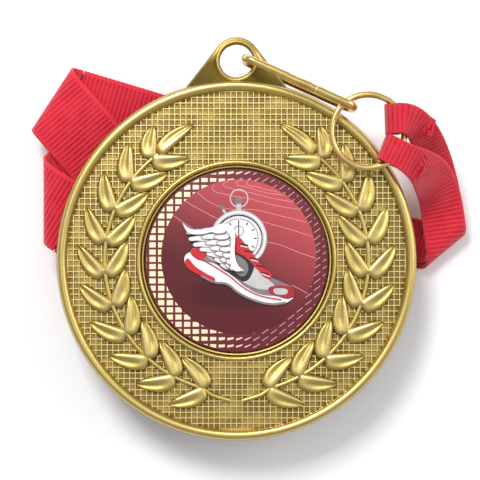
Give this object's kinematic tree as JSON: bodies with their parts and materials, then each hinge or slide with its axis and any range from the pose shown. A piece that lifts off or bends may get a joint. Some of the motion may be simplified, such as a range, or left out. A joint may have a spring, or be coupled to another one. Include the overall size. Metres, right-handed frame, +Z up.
{
  "type": "medal",
  "caption": "Round wreath medal with a raised rim, pierced lug and printed centre, hung by a wire link and a small ring on a folded neck ribbon.",
  "frame": {"origin": "on the table under the centre of the medal, in the underside of the ribbon's lowest layer", "axes": "+X to the right across the medal's face, +Y from the medal's centre to its lug, +Z up through the printed face"},
  "size_m": [0.0617, 0.056, 0.0133],
  "materials": {
    "gold_plate": "antiqued gold plate, satin",
    "print": "printed film under a clear gloss coat",
    "adhesive": "matt foam tape",
    "ring_wire": "bright gold plate",
    "link_wire": "bright gold plate",
    "red_ribbon": "woven polyester ribbon, ribbed, matt",
    "red_thread": "polyester sewing thread, matt"
  },
  "bodies": {
    "ribbon": {"neck_ribbon": "red_ribbon", "lower_end_stitch": "red_thread", "upper_end_stitch": "red_thread"},
    "ring": {"ribbon_ring": "ring_wire"},
    "link": {"lug_link": "link_wire"},
    "medal": {"medal_body": "gold_plate", "printed_centre": "print", "adhesive_pad": "adhesive"}
  },
  "joints": [
    {"name": "ring_flip", "type": "hinge", "parent": "ribbon", "child": "ring", "pos_m": [0.0215, 0.0175, 0.01165], "axis": [0.1414, 0.9899, 0], "range_deg": [0, 34]},
    {"name": "link_swing", "type": "hinge", "parent": "ring", "child": "link", "pos_m": [0.01615, 0.0211, 0.01115], "axis": [0, 0, 1], "range_deg": [-35, 0]},
    {"name": "medal_swing", "type": "hinge", "parent": "link", "child": "medal", "pos_m": [0.00123, 0.0278, 0.0076], "axis": [0, 0, 1], "range_deg": [-35, 0]}
  ]
}
